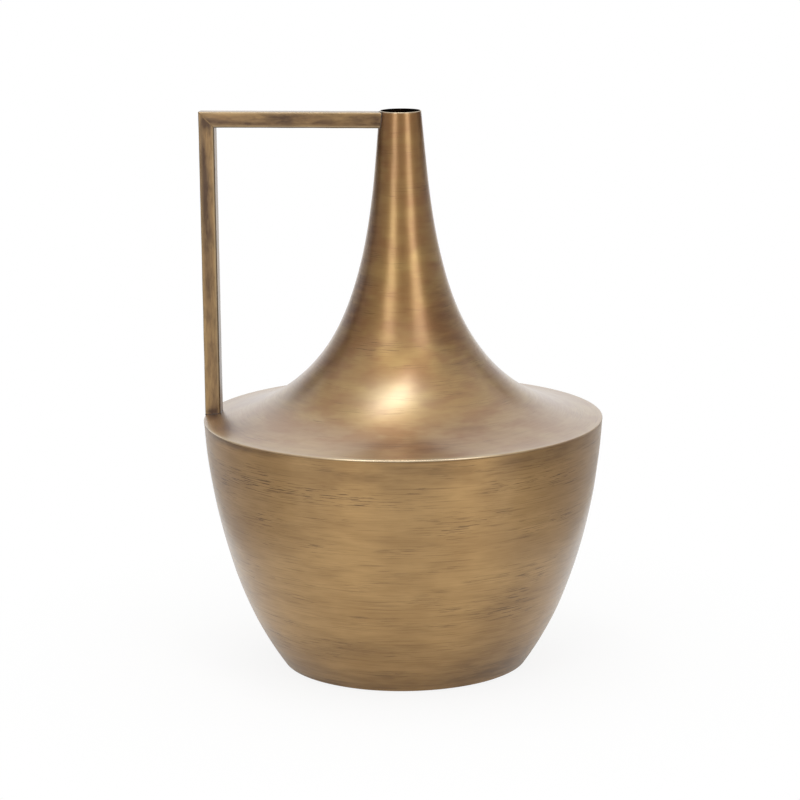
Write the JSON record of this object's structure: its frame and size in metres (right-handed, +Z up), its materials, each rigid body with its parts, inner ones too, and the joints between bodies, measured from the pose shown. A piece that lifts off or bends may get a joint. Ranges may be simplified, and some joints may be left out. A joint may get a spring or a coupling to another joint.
{
  "type": "urn vase",
  "caption": "Antique brushed brass urn vase: swelling bowl, flared shoulder, slim conical neck and an angular handle of square tube.",
  "frame": {"origin": "middle of the base on the table: the axis of the spun body, level with the underside of the felt pads", "axes": "+Z up along the body's axis; the handle stands on the side of -X, turned 7 degrees towards +Y; -Y faces the viewer of the picture"},
  "size_m": [0.3256, 0.3256, 0.4542],
  "materials": {
    "brushed_brass": "spun, brushed around the axis, antiqued",
    "handle_brass": "drawn square tube, brushed along its length, antiqued",
    "braze": "dressed and antiqued",
    "solder": "dull soft solder, as cast",
    "felt": "pressed wool felt"
  },
  "bodies": {
    "root": {"bowl": "brushed_brass", "shoulder": "brushed_brass", "neck": "brushed_brass", "handle_arm": "handle_brass", "handle_leg": "handle_brass", "rim_solder": "solder", "neck_braze": "braze", "corner_weld": "braze", "arm_weld": "braze", "leg_weld": "braze", "foot_pad_1": "felt", "foot_pad_2": "felt", "foot_pad_3": "felt", "foot_pad_4": "felt"}
  },
  "joints": []
}
